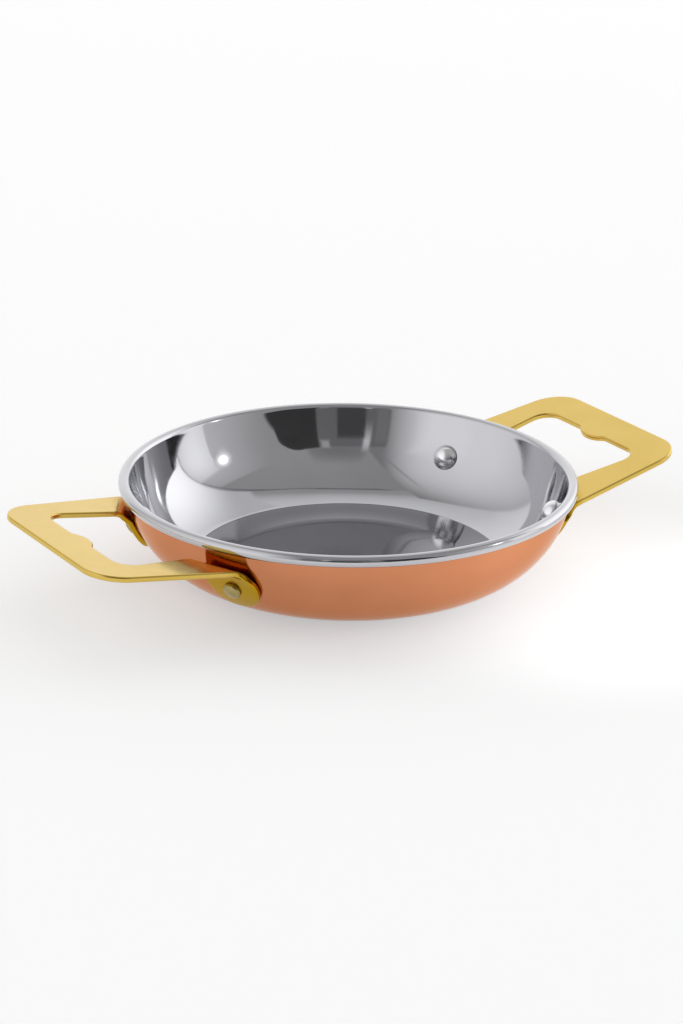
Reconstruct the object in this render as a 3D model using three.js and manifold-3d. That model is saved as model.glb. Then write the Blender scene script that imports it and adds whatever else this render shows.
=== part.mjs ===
// Shallow round pan: a steel liner nested in a copper shell, with two riveted brass plate handles.
// Millimetres, +Z up. The origin is the middle of the underside, and the handles lie along X.
import * as THREE from 'three';
import { mergeVertices } from 'three/addons/utils/BufferGeometryUtils.js';
import Module from 'manifold-3d';

const wasm = await Module();
wasm.setup();

// Pan
const RIM_DIAMETER = 160;
const BEAD_RADIUS = 2;
const FLOOR_DIAMETER = 107;
const BOWL_DEPTH = 28.7; // from the floor up to the middle of the bead
const WALL_CURVE = 32.6; // radius of the wall's hollow side, from floor to bead
const LINER_SHEET = 0.8;
const SHELL_SHEET = 0.9;
const SEAT_GAP = 0.3; // between two pieces that lie against each other

// Handles
const HANDLE_SHEET = 2;
const HANDLE_WIDTH = 77.4;
const ARM_WIDTH = 11.3; // beside the grip's corners, from where the arm widens to its lug
const GRIP_WIDTH = 13.5;
const OUTER_CORNER = 13;
const INNER_CORNER = 6.4;
const BUMP_WIDTH = 14.4;
const BUMP_HEIGHT = 2.8;
const ARM_DROP = 5.2; // from the middle of the bead down to the arm's upper face, below the rim's edge
const RIGHT_REACH = 38.8; // from the rim out to the grip's far edge, along the plate
const LEFT_REACH = 37.7;
const RIGHT_TILT = THREE.MathUtils.degToRad(11.3);
const LEFT_TILT = THREE.MathUtils.degToRad(7);
const BEND_RADIUS = 3; // on the hollow side of the bend
const LUG_DIAMETER = 18.8;

// Rivets
const RIVET_DROP = 14.5; // from the middle of the bead down to the rivet, on the shell's outer face
const RIVET_SPREAD = 1.2; // how far the rivet stands outside the arm's middle line
const SHANK_DIAMETER = 4.8;
const HEAD_DIAMETER = 9.2;
const HEAD_HEIGHT = 2.6;
const TAIL_DIAMETER = 6.4;
const TAIL_HEIGHT = 1.5;
const TAIL_EDGE = 0.5; // straight side of the tail below its dome

// Fineness of the facets
const PAN_SEGMENTS = 64;
const RIVET_SEGMENTS = 20;
const WALL_STEPS = 6;
const BEAD_STEPS = 8;
const CURL_STEPS = 5;
const DOME_STEPS = 4;
const CORNER_STEPS = 6;
const LUG_STEPS = 16;
const BUMP_STEPS = 5;
const BEND_STEPS = 6;

const steel = { color: 0xc4c4c8, roughness: 0.12, metalness: 1 };
const copper = { color: 0xcf8259, roughness: 0.28, metalness: 1 };
const brass = { color: 0xd9b45c, roughness: 0.22, metalness: 1 };

// Heights and radii that follow from the sizes above
const rimRadius = RIM_DIAMETER / 2;
const floorRadius = FLOOR_DIAMETER / 2;
const floorHeight = SHELL_SHEET + SEAT_GAP + LINER_SHEET;
const bead = new THREE.Vector2(rimRadius - BEAD_RADIUS, floorHeight + BOWL_DEPTH);
const floorEdge = new THREE.Vector2(floorRadius, floorHeight);

// The wall's curve starts at the floor's edge and runs tangent into the bead.
const wallCentre = circlesMeet(floorEdge, WALL_CURVE, bead, WALL_CURVE + BEAD_RADIUS);
const linerOuter = WALL_CURVE + LINER_SHEET;
const shellInner = linerOuter + SEAT_GAP;
const shellOuter = shellInner + SHELL_SHEET;
const beadBearing = Math.atan2(bead.y - wallCentre.y, bead.x - wallCentre.x);

// Rivet axes stand square to the wall.
const rivetDip = Math.asin((wallCentre.y - bead.y + RIVET_DROP) / shellOuter);
const rivetRadius = wallCentre.x + shellOuter * Math.cos(rivetDip);
const rivetHeight = wallCentre.y - shellOuter * Math.sin(rivetDip);
const rivetAside = (HANDLE_WIDTH - ARM_WIDTH) / 2 + RIVET_SPREAD;
const rivetBearing = Math.asin(rivetAside / rivetRadius);

// The meeting point, nearer the pan's axis, of two circles.
function circlesMeet(first, firstRadius, second, secondRadius) {
  const between = second.clone().sub(first);
  const apart = between.length();
  const along = (apart ** 2 + firstRadius ** 2 - secondRadius ** 2) / (2 * apart);
  const aside = Math.sqrt(firstRadius ** 2 - along ** 2);
  const unit = between.divideScalar(apart);
  return new THREE.Vector2(
    first.x + unit.x * along - unit.y * aside,
    first.y + unit.y * along + unit.x * aside,
  );
}

// Points along an arc, from one angle to another.
function arc(centre, radius, from, to, steps) {
  const points = [];
  for (let i = 0; i <= steps; i++) {
    const angle = from + ((to - from) * i) / steps;
    points.push(new THREE.Vector2(centre.x + radius * Math.cos(angle), centre.y + radius * Math.sin(angle)));
  }
  return points;
}

// The angle, seen from the wall's centre, where a wall of the given radius comes down to a height.
function wallAngleAt(radius, height) {
  return Math.asin((height - wallCentre.y) / radius);
}

// A solid of revolution about Z; the profile runs from the axis, round the outside, back to the axis.
function turned(profile, segments) {
  return new THREE.LatheGeometry(profile, segments).rotateX(Math.PI / 2);
}

function toSolid(geometry) {
  const bare = geometry.clone();
  bare.deleteAttribute('normal');
  bare.deleteAttribute('uv');
  const merged = mergeVertices(bare);
  return new wasm.Manifold(
    new wasm.Mesh({
      numProp: 3,
      vertProperties: Float32Array.from(merged.attributes.position.array),
      triVerts: Uint32Array.from(merged.index.array),
    }),
  );
}

function toGeometry(solid) {
  const mesh = solid.getMesh();
  const geometry = new THREE.BufferGeometry();
  geometry.setAttribute('position', new THREE.BufferAttribute(mesh.vertProperties, 3));
  geometry.setIndex(new THREE.BufferAttribute(mesh.triVerts, 1));
  geometry.computeVertexNormals();
  return geometry;
}

function drilled(geometry, drills) {
  let solid = toSolid(geometry);
  for (const drill of drills) {
    solid = solid.subtract(toSolid(drill));
  }
  return toGeometry(solid);
}

// Steel liner: underside, outer wall, inside of the rolled bead, bead, inner wall, floor.
function linerProfile() {
  const curlRadius = BEAD_RADIUS - LINER_SHEET;
  const undersideHeight = floorHeight - LINER_SHEET;
  const beadDistance = WALL_CURVE + BEAD_RADIUS;
  const tipDistance = shellOuter + SEAT_GAP;
  const opening = (tipDistance ** 2 - beadDistance ** 2 - curlRadius ** 2) / (2 * beadDistance * curlRadius);
  const curlStart = beadBearing + Math.PI;
  const curlEnd = beadBearing - Math.acos(opening);
  const outerFoot = wallAngleAt(linerOuter, undersideHeight);
  const innerFoot = wallAngleAt(WALL_CURVE, floorHeight);
  return [
    new THREE.Vector2(0, undersideHeight),
    ...arc(wallCentre, linerOuter, outerFoot, beadBearing, WALL_STEPS),
    ...arc(bead, curlRadius, curlStart, curlEnd, CURL_STEPS).slice(1),
    ...arc(bead, BEAD_RADIUS, curlEnd, curlStart, BEAD_STEPS),
    ...arc(wallCentre, WALL_CURVE, beadBearing, innerFoot, WALL_STEPS).slice(1),
    new THREE.Vector2(0, floorHeight),
  ];
}

// Copper shell: its upper edge stands inside the rolled bead.
function shellProfile() {
  const outerFoot = wallAngleAt(shellOuter, 0);
  const innerFoot = wallAngleAt(shellInner, SHELL_SHEET);
  return [
    new THREE.Vector2(0, 0),
    ...arc(wallCentre, shellOuter, outerFoot, beadBearing, WALL_STEPS),
    ...arc(wallCentre, shellInner, beadBearing, innerFoot, WALL_STEPS),
    new THREE.Vector2(0, SHELL_SHEET),
  ];
}

// A round dome's profile, from its edge to its top; direction is 1 for a dome upwards and -1 downwards.
function dome(edgeRadius, height, edgeLevel, direction) {
  const radius = (edgeRadius ** 2 + height ** 2) / (2 * height);
  const centre = new THREE.Vector2(0, edgeLevel + direction * (height - radius));
  const edgeAngle = Math.asin((radius - height) / radius);
  const points = arc(centre, radius, direction * edgeAngle, (direction * Math.PI) / 2, DOME_STEPS);
  points[DOME_STEPS].x = 0;
  return points;
}

// Rivet about Z, outwards from the shell's outer face at height 0: domed head inside, low tail outside.
function rivetProfile() {
  const shankRadius = SHANK_DIAMETER / 2;
  const headRadius = HEAD_DIAMETER / 2;
  const tailRadius = TAIL_DIAMETER / 2;
  // The head's underside follows the hollow of the wall.
  const seat = WALL_CURVE - shellOuter - SEAT_GAP;
  const shankSag = shankRadius ** 2 / (2 * WALL_CURVE);
  const headSag = headRadius ** 2 / (2 * WALL_CURVE);
  const tailFoot = SEAT_GAP + HANDLE_SHEET + SEAT_GAP;
  return [
    ...dome(headRadius, HEAD_HEIGHT, seat - headSag, -1).reverse(),
    new THREE.Vector2(shankRadius, seat - shankSag),
    new THREE.Vector2(shankRadius, tailFoot),
    new THREE.Vector2(tailRadius, tailFoot),
    ...dome(tailRadius, TAIL_HEIGHT - TAIL_EDGE, tailFoot + TAIL_EDGE, 1),
  ];
}

// Where a rivet sits on the shell, for the handle on +X; side is 1 for the arm at +Y and -1 for -Y.
function rivetPlace(side) {
  const bearing = side * rivetBearing;
  const outward = new THREE.Vector3(
    Math.cos(rivetDip) * Math.cos(bearing),
    Math.cos(rivetDip) * Math.sin(bearing),
    -Math.sin(rivetDip),
  );
  const point = new THREE.Vector3(
    rivetRadius * Math.cos(bearing),
    rivetRadius * Math.sin(bearing),
    rivetHeight,
  );
  return { point, outward };
}

// A drill through liner, shell and lug on one rivet's axis.
function rivetDrill(side) {
  const { point, outward } = rivetPlace(side);
  const radius = SHANK_DIAMETER / 2 + SEAT_GAP;
  const length = 4 * (shellOuter - WALL_CURVE + HANDLE_SHEET);
  const turn = new THREE.Quaternion().setFromUnitVectors(new THREE.Vector3(0, 1, 0), outward);
  const drill = new THREE.CylinderGeometry(radius, radius, length, RIVET_SEGMENTS);
  return drill.applyQuaternion(turn).translate(point.x, point.y, point.z);
}

// The bend of one arm. The plate's upper face turns down about an oblique line and ends against the wall.
function armBend(tilt) {
  const { point, outward } = rivetPlace(1);
  const origin = new THREE.Vector3(rimRadius, 0, bead.y - ARM_DROP);
  const along = new THREE.Vector3(Math.cos(tilt), 0, Math.sin(tilt));
  const across = new THREE.Vector3(0, 1, 0);
  const up = along.clone().cross(across);
  const seat = point.clone().addScaledVector(outward, SEAT_GAP);
  const facing = outward.clone().negate();
  const inward = facing.clone().addScaledVector(up, -facing.dot(up)).normalize();
  const angle = up.angleTo(facing);
  const down = inward.clone().multiplyScalar(Math.cos(angle)).addScaledVector(up, -Math.sin(angle));
  // From the seat back up the lug to the fold, where the two faces would meet without a bend.
  const climb = seat.clone().sub(origin).dot(up) / down.dot(up);
  const fold = seat.clone().addScaledVector(down, -climb);
  const radius = BEND_RADIUS + HANDLE_SHEET;
  const setback = radius * Math.tan(angle / 2);
  const flatLug = fold.clone().addScaledVector(inward, radius * angle - 2 * setback + climb).sub(origin);
  return {
    origin, along, across, up, inward, down, radius,
    start: fold.clone().addScaledVector(inward, -setback),
    length: radius * angle,
    lug: new THREE.Vector2(flatLug.dot(along), flatLug.dot(across)),
  };
}

// Distance past the start of the bend, measured along the flat plate.
function pastBend(bend, point) {
  const flat = bend.origin.clone().addScaledVector(bend.along, point.x);
  flat.addScaledVector(bend.across, Math.abs(point.y));
  return flat.sub(bend.start).dot(bend.inward);
}

// The place on the bent plate of a point of the flat one, at a depth below the upper face.
function bent(bend, { point, past }, depth) {
  const place = bend.origin.clone().addScaledVector(bend.along, point.x);
  place.addScaledVector(bend.across, Math.abs(point.y));
  const wrapped = Math.max(0, past);
  const turn = Math.min(wrapped, bend.length) / bend.radius;
  const facing = bend.up.clone().multiplyScalar(Math.cos(turn)).addScaledVector(bend.inward, Math.sin(turn));
  place.addScaledVector(bend.inward, bend.radius * Math.sin(turn) - wrapped);
  place.addScaledVector(bend.up, bend.radius * (Math.cos(turn) - 1));
  place.addScaledVector(bend.down, Math.max(0, wrapped - bend.length));
  place.addScaledVector(facing, -depth);
  place.y *= Math.sign(point.y);
  return place;
}

// The bearing, seen from both middles, of the places where a line touches two circles. A circle with a
// negative radius lies on the other side of the line, and its place is at the opposite bearing.
function tangentBearing(first, firstRadius, second, secondRadius) {
  const way = second.clone().sub(first);
  return way.angle() - Math.acos((firstRadius - secondRadius) / way.length());
}

// Half of the flat plate's edge: grip corner, arm, lug, arm, inner corner and half of the thumb bump.
function halfEdge(lug, reach) {
  const halfWidth = HANDLE_WIDTH / 2;
  const innerHalf = halfWidth - ARM_WIDTH;
  const gripInner = reach - GRIP_WIDTH;
  const lugRadius = LUG_DIAMETER / 2;
  const outerCorner = new THREE.Vector2(reach - OUTER_CORNER, halfWidth - OUTER_CORNER);
  const innerCorner = new THREE.Vector2(gripInner - INNER_CORNER, innerHalf - INNER_CORNER);
  const outerMeet = tangentBearing(outerCorner, OUTER_CORNER, lug, lugRadius);
  const innerMeet = tangentBearing(innerCorner, INNER_CORNER, lug, -lugRadius);
  const bumpRadius = ((BUMP_WIDTH / 2) ** 2 + BUMP_HEIGHT ** 2) / (2 * BUMP_HEIGHT);
  const bumpCentre = new THREE.Vector2(gripInner - BUMP_HEIGHT + bumpRadius, 0);
  const bumpHalf = Math.asin(BUMP_WIDTH / 2 / bumpRadius);
  return [
    ...arc(outerCorner, OUTER_CORNER, 0, outerMeet, CORNER_STEPS),
    ...arc(lug, lugRadius, outerMeet, innerMeet + Math.PI, LUG_STEPS),
    ...arc(innerCorner, INNER_CORNER, innerMeet, 0, CORNER_STEPS),
    ...arc(bumpCentre, bumpRadius, Math.PI - bumpHalf, Math.PI, BUMP_STEPS),
  ];
}

// The whole edge of the flat plate, with a point wherever it crosses one of the levels of the bend.
function plateEdge(bend, reach, levels) {
  const half = halfEdge(bend.lug, reach);
  const mirrored = half.slice(0, -1).reverse();
  const corners = half.concat(mirrored.map(({ x, y }) => new THREE.Vector2(x, -y)));
  const edge = [];
  corners.forEach((corner, index) => {
    const next = corners[(index + 1) % corners.length];
    const past = pastBend(bend, corner);
    const nextPast = pastBend(bend, next);
    edge.push({ point: corner, past });
    const crossed = levels.filter((level) => (past - level) * (nextPast - level) < 0);
    crossed.sort((a, b) => (nextPast - past) * (a - b));
    for (const level of crossed) {
      const point = corner.clone().lerp(next, (level - past) / (nextPast - past));
      edge.push({ point, past: level });
    }
  });
  return edge;
}

// A handle on +X: the flat plate bent down at both arms and drilled for its two rivets.
function handleGeometry(tilt, reach) {
  const bend = armBend(tilt);
  const levels = [];
  for (let i = 0; i <= BEND_STEPS; i++) {
    levels.push((bend.length * i) / BEND_STEPS);
  }
  const edge = plateEdge(bend, reach, levels);
  const upper = edge.map((point) => bent(bend, point, 0));
  const lower = edge.map((point) => bent(bend, point, HANDLE_SHEET));
  const count = edge.length;
  const index = [];
  const addFaces = (inside) => {
    const band = [...edge.keys()].filter((i) => inside(edge[i]));
    for (const corners of THREE.ShapeUtils.triangulateShape(band.map((i) => edge[i].point), [])) {
      const [a, b, c] = corners.map((corner) => band[corner]);
      index.push(a, b, c, c + count, b + count, a + count);
    }
  };
  addFaces(({ past }) => past <= 0);
  for (const side of [1, -1]) {
    levels.forEach((level, step) => {
      const end = levels[step + 1] ?? Infinity;
      addFaces(({ point, past }) => point.y * side > 0 && past >= level && past <= end);
    });
  }
  for (let i = 0; i < count; i++) {
    const next = (i + 1) % count;
    index.push(i + count, next + count, next, i + count, next, i);
  }
  const plate = new THREE.BufferGeometry().setFromPoints(upper.concat(lower)).setIndex(index);
  return drilled(plate, [rivetDrill(1), rivetDrill(-1)]);
}

function piece(name, geometry, finish) {
  const mesh = new THREE.Mesh(geometry, new THREE.MeshStandardMaterial(finish));
  mesh.name = name;
  return mesh;
}

// A handle with its rivets, as it sits on +X.
function handleSet(name, tilt, reach, rivetNames) {
  const set = new THREE.Group();
  set.add(piece(`${name}_handle`, handleGeometry(tilt, reach), brass));
  for (const [index, side] of [1, -1].entries()) {
    const rivet = piece(rivetNames[index], turned(rivetProfile(), RIVET_SEGMENTS), steel);
    const { point, outward } = rivetPlace(side);
    rivet.position.copy(point);
    rivet.quaternion.setFromUnitVectors(new THREE.Vector3(0, 0, 1), outward);
    set.add(rivet);
  }
  return set;
}

const halfTurn = new THREE.Matrix4().makeRotationZ(Math.PI);
const rightDrills = [rivetDrill(1), rivetDrill(-1)];
const drills = rightDrills.concat(rightDrills.map((drill) => drill.clone().applyMatrix4(halfTurn)));

const pan = new THREE.Group();
pan.add(piece('inner_pan', drilled(turned(linerProfile(), PAN_SEGMENTS), drills), steel));
pan.add(piece('copper_shell', drilled(turned(shellProfile(), PAN_SEGMENTS), drills), copper));
pan.add(handleSet('right', RIGHT_TILT, RIGHT_REACH, ['rivet_right_rear', 'rivet_right_front']));
const leftSet = handleSet('left', LEFT_TILT, LEFT_REACH, ['rivet_left_front', 'rivet_left_rear']);
leftSet.rotation.z = Math.PI;
pan.add(leftSet);

export default pan;
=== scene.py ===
"""Looks of a shallow round pan: steel lining, copper shell, two brass plate handles and four rivets.

Metres, +Z up. The origin is the middle of the underside, and the handles lie along X.
"""

import logging
import math
from dataclasses import dataclass, field
from enum import Enum
from typing import Any, Optional, Sequence, Union

import bmesh
import bpy
from mathutils import Matrix, Vector


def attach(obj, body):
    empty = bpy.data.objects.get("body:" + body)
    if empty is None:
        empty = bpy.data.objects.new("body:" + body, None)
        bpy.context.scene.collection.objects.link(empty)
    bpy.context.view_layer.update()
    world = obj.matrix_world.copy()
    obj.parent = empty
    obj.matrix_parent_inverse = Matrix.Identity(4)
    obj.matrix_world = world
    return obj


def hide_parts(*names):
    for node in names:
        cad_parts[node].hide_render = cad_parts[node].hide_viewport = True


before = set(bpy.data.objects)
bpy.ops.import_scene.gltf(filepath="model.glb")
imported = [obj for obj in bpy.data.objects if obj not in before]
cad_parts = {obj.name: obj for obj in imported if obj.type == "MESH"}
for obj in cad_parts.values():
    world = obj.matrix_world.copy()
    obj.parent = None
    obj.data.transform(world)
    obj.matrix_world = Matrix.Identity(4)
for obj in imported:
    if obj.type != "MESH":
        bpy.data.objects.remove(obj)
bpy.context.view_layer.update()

Colour = tuple[float, float, float]
Pair = tuple[float, float]
Source = Union[bpy.types.NodeSocket, float]

LOG = logging.getLogger("pan")
BODY = "root"
TOUCH = 1e-7  # two points nearer than this are one
ON_RING = 1e-6  # a point nearer than this to a ring of edges belongs to it
SHARP = math.radians(60)  # faces that meet at more than this have a cut edge between them
EVEN = 0.5  # profile of an even rounding
MOST_NOISE: Pair = (0.35, 0.7)  # where most of a noise's values lie
TONE_ENDS: Pair = (0.3, 0.7)  # noise at which a colour has reached one of its two tones


class Rounds(Enum):
    """What a rounding takes off."""

    EDGES = "EDGES"
    CORNERS = "VERTICES"


def arc(centre: Vector, radius: float, start: float, end: float, steps: int) -> list[Vector]:
    """Points along an arc in a plane.

    Args:
        centre: Middle of the arc.
        radius: Radius of the arc.
        start: Angle of the first point, in radians.
        end: Angle of the last point, in radians.
        steps: How many steps the arc has.

    Returns:
        The points, both ends included.
    """
    angles = [start + (end - start) * step / steps for step in range(steps + 1)]
    return [centre + radius * Vector((math.cos(angle), math.sin(angle))) for angle in angles]


def touching(first: Vector, first_radius: float, second: Vector, second_radius: float) -> float:
    """Bearing of the places where a line touches two circles, seen from their middles.

    Args:
        first: Middle of the first circle.
        first_radius: Its radius.
        second: Middle of the second circle.
        second_radius: Its radius, negative where it lies on the line's other side.

    Returns:
        The bearing, in radians; the opposite one for a negative radius.
    """
    way = second - first
    return math.atan2(way.y, way.x) - math.acos((first_radius - second_radius) / way.length)


def spun(profile: Sequence[Vector], steps: int) -> bmesh.types.BMesh:
    """A closed shape turned about Z.

    Args:
        profile: Radius and height of each point, from the axis round the outside and back to it.
        steps: How many steps a full turn has.

    Returns:
        The turned shape, with its faces pointing out.
    """
    shape = bmesh.new()
    rail = [shape.verts.new((point.x, 0.0, point.y)) for point in profile]
    rungs = [shape.edges.new(pair) for pair in zip(rail, rail[1:])]
    axis = {"cent": (0.0, 0.0, 0.0), "axis": (0.0, 0.0, 1.0), "dvec": (0.0, 0.0, 0.0)}
    bmesh.ops.spin(shape, geom=rail + rungs, angle=math.tau, steps=steps, use_merge=True, **axis)
    bmesh.ops.remove_doubles(shape, verts=shape.verts, dist=TOUCH)
    bmesh.ops.recalc_face_normals(shape, faces=shape.faces)
    return shape


def rounded(shape: bmesh.types.BMesh, kind: Rounds, parts: list[Any], width: float, steps: int) -> None:
    """Rounds edges or corners of a shape.

    Args:
        shape: The shape.
        kind: What is rounded.
        parts: The edges, or the vertices at the corners.
        width: How far the rounding reaches along the faces.
        steps: How many faces the rounding has.
    """
    options = {"profile": EVEN, "affect": kind.value, "material": -1}
    bmesh.ops.bevel(shape, geom=parts, offset=width, segments=steps, **options)


def soften_ring(shape: bmesh.types.BMesh, place: Vector, width: float, steps: int) -> None:
    """Rounds the ring of edges at one point of a turned shape's profile.

    Args:
        shape: The turned shape.
        place: Radius and height of the ring.
        width: How far the rounding reaches along the faces.
        steps: How many faces the rounding has.
    """
    def on_ring(vert: bmesh.types.BMVert) -> bool:
        """Tells whether a vertex is on the ring."""
        return (Vector((vert.co.xy.length, vert.co.z)) - place).length < ON_RING

    ring = [edge for edge in shape.edges if all(on_ring(vert) for vert in edge.verts)]
    rounded(shape, Rounds.EDGES, ring, width, steps)


def placed(name: str, shape: bmesh.types.BMesh, material: bpy.types.Material) -> bpy.types.Object:
    """Turns a shape into an object in the scene.

    Args:
        name: Name of the object.
        shape: The shape, which is used up.
        material: Its material.

    Returns:
        The new object, at the origin.
    """
    mesh = bpy.data.meshes.new(name)
    shape.to_mesh(mesh)
    shape.free()
    mesh.materials.append(material)
    thing = bpy.data.objects.new(name, mesh)
    bpy.context.scene.collection.objects.link(thing)
    return thing


def finished(name: str, shape: bmesh.types.BMesh, material: bpy.types.Material) -> bpy.types.Object:
    """Turns a shape into a smooth shaded piece of the pan.

    Args:
        name: Name of the piece.
        shape: The shape, which is used up.
        material: Its finish.

    Returns:
        The new piece, at the origin.
    """
    for face in shape.faces:
        face.smooth = True
    piece = placed(name, shape, material)
    normals = piece.modifiers.new("flat_faces_lead", "WEIGHTED_NORMAL")
    normals.mode = "FACE_AREA"
    normals.keep_sharp = False
    return piece


def settle(piece: bpy.types.Object, node: str, slot: str) -> None:
    """Puts a piece in the place of its CAD node.

    Args:
        piece: The finished piece.
        node: CAD node that the piece stands for.
        slot: The record's material slot.
    """
    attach(piece, BODY)
    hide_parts(node)
    LOG.info("%s: %d faces, slot %s", piece.name, len(piece.data.polygons), slot)


@dataclass(frozen=True)
class Grain:
    """How fine a noise is."""

    scale: float  # waves in a metre
    detail: float  # how many finer layers it has


class NodeSheet:
    """The nodes of one material."""

    def __init__(self, name: str) -> None:
        """Starts a material with no nodes.

        Args:
            name: Name of the material.
        """
        self.material = bpy.data.materials.new(name)
        self.material.use_nodes = True
        self.tree = self.material.node_tree
        self.tree.nodes.clear()

    def add(self, kind: str, sockets: dict[Any, Any], **options: Any) -> bpy.types.Node:
        """Adds a node, sets its options and fills its sockets.

        Args:
            kind: The node's type, without its ShaderNode prefix.
            sockets: A value or a source for each socket, by name or number.
            options: The node's own settings.

        Returns:
            The new node.
        """
        node = self.tree.nodes.new(f"ShaderNode{kind}")
        for option, value in options.items():
            setattr(node, option, value)
        for socket, value in sockets.items():
            if isinstance(value, bpy.types.NodeSocket):
                self.tree.links.new(value, node.inputs[socket])
            else:
                node.inputs[socket].default_value = value
        return node

    def place(self) -> bpy.types.NodeSocket:
        """The point on the piece, in the object's own frame."""
        return self.add("TexCoord", {}).outputs["Object"]

    def stretched(self, place: bpy.types.NodeSocket, scale: Sequence[float]) -> bpy.types.NodeSocket:
        """A place with each axis scaled by itself."""
        return self.add("Mapping", {"Vector": place, "Scale": tuple(scale)}).outputs[0]

    def maths(self, operation: str, first: Source, second: Source) -> bpy.types.NodeSocket:
        """What a math node makes of two values."""
        return self.add("Math", {0: first, 1: second}, operation=operation).outputs[0]

    def length(self, vector: bpy.types.NodeSocket) -> bpy.types.NodeSocket:
        """The length of a vector."""
        return self.add("VectorMath", {0: vector}, operation="LENGTH").outputs["Value"]

    def radius(self, place: bpy.types.NodeSocket) -> bpy.types.NodeSocket:
        """A place's distance from the pan's axis."""
        return self.length(self.stretched(place, (1.0, 1.0, 0.0)))

    def noise(self, place: bpy.types.NodeSocket, grain: Grain) -> bpy.types.NodeSocket:
        """Soft noise in space, about 0.5 and from 0 to 1."""
        sockets = {"Vector": place, "Scale": grain.scale, "Detail": grain.detail}
        return self.add("TexNoise", sockets).outputs[0]

    def rings(self, place: bpy.types.NodeSocket, grain: Grain) -> bpy.types.NodeSocket:
        """Uneven fine rings round Z, as a polishing wheel leaves them on a turned piece.

        Args:
            place: Where the rings are read.
            grain: How fine they are along the profile.

        Returns:
            A value of about 0.5, from 0 to 1.
        """
        height = self.add("SeparateXYZ", {0: place}).outputs["Z"]
        along = self.maths("ADD", self.radius(place), height)
        sockets = {"W": along, "Scale": grain.scale, "Detail": grain.detail}
        return self.add("TexNoise", sockets, noise_dimensions="1D").outputs[0]

    def ranged(self, value: bpy.types.NodeSocket, start: Pair, end: Pair) -> bpy.types.NodeSocket:
        """A value moved from one range to another, and kept inside it.

        Args:
            value: The value to move.
            start: Lower and upper end of the range that it comes from.
            end: Lower and upper end of the range that it goes to.

        Returns:
            The moved value.
        """
        sockets = {
            "Value": value, "From Min": start[0], "From Max": start[1], "To Min": end[0], "To Max": end[1],
        }
        return self.add("MapRange", sockets).outputs["Result"]

    def eased(self, value: bpy.types.NodeSocket, start: Pair, end: Pair) -> bpy.types.NodeSocket:
        """A value moved from one range to another with a soft start and end.

        Args:
            value: The value to move.
            start: Lower and upper end of the range that it comes from.
            end: Where these two ends go to.

        Returns:
            The moved value.
        """
        moved = self.ranged(value, start, end)
        moved.node.interpolation_type = "SMOOTHSTEP"
        return moved

    def scaled(self, middle: Pair, half: Pair) -> bpy.types.NodeSocket:
        """The place on a flat piece, seen from a point of it.

        Args:
            middle: The point that becomes 0.
            half: How far from it 1 lies, along both axes.

        Returns:
            The place.
        """
        shifted = self.add("VectorMath", {0: self.place(), 1: (*middle, 0.0)}, operation="SUBTRACT")
        spread = {0: shifted.outputs[0], 1: (*half, 1.0)}
        return self.add("VectorMath", spread, operation="DIVIDE").outputs[0]

    def tones(self, value: bpy.types.NodeSocket, first: Colour, second: Colour) -> bpy.types.NodeSocket:
        """A colour between two tones.

        Args:
            value: Noise that leans to one tone or the other.
            first: Tone where the noise is low.
            second: Tone where the noise is high.

        Returns:
            The colour.
        """
        ramp = self.add("ValToRGB", {"Fac": value})
        low, high = ramp.color_ramp.elements
        low.position, high.position = TONE_ENDS
        low.color = (*first, 1.0)
        high.color = (*second, 1.0)
        return ramp.outputs["Color"]

    def relief(
        self, height: bpy.types.NodeSocket, depth: float, under: Optional[bpy.types.NodeSocket] = None
    ) -> bpy.types.NodeSocket:
        """A slight relief in the surface.

        Args:
            height: Height from 0 to 1.
            depth: How high 1 stands over 0.
            under: Relief that this one lies on.

        Returns:
            The normal.
        """
        sockets: dict[str, Any] = {"Height": height, "Distance": depth, "Strength": 1.0}
        if under is not None:
            sockets["Normal"] = under
        return self.add("Bump", sockets).outputs[0]

    def mixed(
        self, share: bpy.types.NodeSocket, first: bpy.types.NodeSocket, second: bpy.types.NodeSocket
    ) -> bpy.types.NodeSocket:
        """The first colour where the share is 0 and the second where it is 1."""
        return self.add("Mix", {0: share, 6: first, 7: second}, data_type="RGBA").outputs[2]

    def metal(
        self, colour: Any, roughness: Source, normal: bpy.types.NodeSocket, slant: Colour = (1.0, 1.0, 1.0)
    ) -> bpy.types.Material:
        """Ends the sheet with bare metal.

        Args:
            colour: Colour of the metal seen straight on.
            roughness: Roughness of its surface.
            normal: Its relief.
            slant: Tint of the metal seen at a slant.

        Returns:
            The material.
        """
        sockets = {"Base Color": colour, "Metallic": 1.0, "Roughness": roughness, "Normal": normal}
        sockets["Specular Tint"] = (*slant, 1.0)
        shader = self.add("BsdfPrincipled", sockets)
        self.add("OutputMaterial", {"Surface": shader.outputs[0]})
        return self.material


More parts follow.
